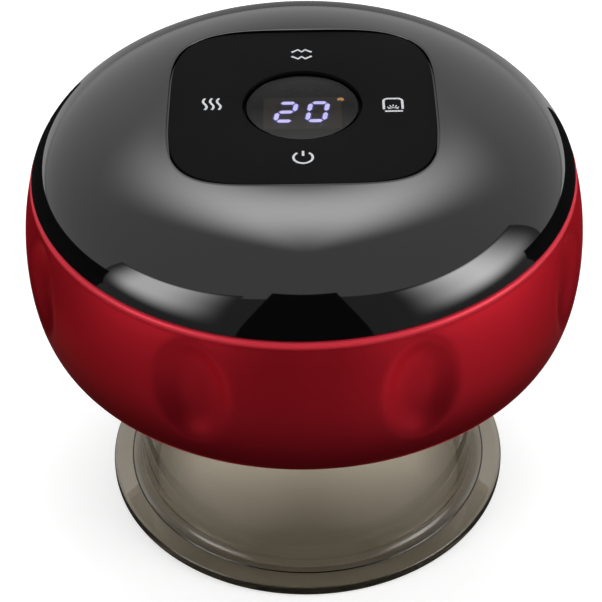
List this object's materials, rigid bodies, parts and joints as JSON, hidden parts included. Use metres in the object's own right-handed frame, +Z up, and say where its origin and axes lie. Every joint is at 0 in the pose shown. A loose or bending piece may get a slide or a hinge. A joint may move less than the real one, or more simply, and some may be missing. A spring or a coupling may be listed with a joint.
{
  "type": "electric cupping massager",
  "caption": "Round hand-held suction massager: clear cup below a dimpled grip ring, glossy dome, touch panel with a display window.",
  "frame": {"origin": "middle of the flat rim under the suction cup, where the massager rests", "axes": "+Z up through the cup, body and dome; -Y towards the user, the side at which the display reads upright; the charging port is at +Y"},
  "size_m": [0.093, 0.093, 0.0776],
  "materials": {
    "dome_gloss": "high gloss black",
    "panel_black": "fine matte black",
    "smoked_window": "smoked clear, polished",
    "ring_red": "satin metallic red paint",
    "base_black": "moulded, fine grain",
    "cup_smoke": "smoky clear, polished",
    "seal_rubber": "moulded",
    "window_clear": "frosted clear",
    "lamp_red": "clear red resin",
    "filter_felt": "felt",
    "board_green": "solder resist",
    "chip_black": "moulded",
    "nylon_white": "moulded",
    "spring_steel": "bright wire",
    "can_steel": "plated sheet",
    "magnet_grey": "sintered",
    "coil_copper": "enamelled copper wire",
    "cell_wrap": "printed film over a metal can",
    "silicone_clear": "translucent",
    "wire_red": "insulated wire"
  },
  "bodies": {
    "housing": {"air_filter": "filter_felt", "base_cover": "base_black", "base_screw_1": "spring_steel", "base_screw_2": "spring_steel", "base_screw_3": "spring_steel", "base_screw_4": "spring_steel", "battery_cell": "cell_wrap", "battery_cradle": "nylon_white", "battery_wire": "wire_red", "board_screw_1": "spring_steel", "board_screw_2": "spring_steel", "board_screw_3": "spring_steel", "buzzer": "chip_black", "charge_board": "board_green", "control_chip": "chip_black", "control_panel": "panel_black", "cup_seal": "seal_rubber", "display_module": "chip_black", "display_window": "smoked_window", "grip_ring": "ring_red", "heat_lamp_1": "lamp_red", "heat_lamp_2": "lamp_red", "heat_lamp_3": "lamp_red", "heat_lamp_4": "lamp_red", "heat_lamp_5": "lamp_red", "heat_lamp_6": "lamp_red", "lamp_board": "board_green", "lamp_wire": "wire_red", "light_window": "window_clear", "main_board": "board_green", "motor_can": "can_steel", "motor_cap": "nylon_white", "motor_magnet": "magnet_grey", "motor_wire": "wire_red", "pressure_sensor": "nylon_white", "pump_diaphragm": "seal_rubber", "pump_head": "chip_black", "pump_hose": "silicone_clear", "pump_housing": "chip_black", "pump_mount": "seal_rubber", "pump_valve_plate": "chip_black", "sensor_hose": "silicone_clear", "top_cover": "dome_gloss", "touch_spring_1": "spring_steel", "touch_spring_2": "spring_steel", "touch_spring_3": "spring_steel", "touch_spring_4": "spring_steel", "usb_socket": "can_steel", "valve_body": "nylon_white", "valve_coil": "coil_copper", "valve_hose": "silicone_clear", "valve_spring": "spring_steel", "valve_yoke": "can_steel"},
    "cup": {"suction_cup": "cup_smoke"},
    "filter_lid": {"filter_cap": "base_black"},
    "rotor": {"motor_rotor": "coil_copper", "drive_eccentric": "nylon_white"},
    "wobbler": {"wobble_plate": "nylon_white"},
    "plunger": {"valve_plunger": "can_steel"}
  },
  "joints": [
    {"name": "cup_pull", "type": "slide", "parent": "housing", "child": "cup", "axis": [0, 0, -1], "range_m": [0, 0.012]},
    {"name": "filter_lid_pull", "type": "slide", "parent": "housing", "child": "filter_lid", "axis": [0, 0, -1], "range_m": [0, 0.005]},
    {"name": "rotor_spin", "type": "hinge", "parent": "housing", "child": "rotor", "pos_m": [-0.026, -0.0135, 0.05194], "axis": [1, 0, 0], "continuous": true},
    {"name": "wobble_turn", "type": "hinge", "parent": "rotor", "child": "wobbler", "pos_m": [0.00051, -0.0135, 0.05194], "axis": [0.9945, 0, -0.1045], "continuous": true},
    {"name": "plunger_lift", "type": "slide", "parent": "housing", "child": "plunger", "axis": [0, 0, 1], "range_m": [0, 0.001], "stiffness_N_per_m": 100, "springref_m": -0.001, "deforming": ["valve_spring"]}
  ],
  "couplings": [
    {"joint": "wobble_turn", "follows": "rotor_spin", "ratio": -1}
  ]
}
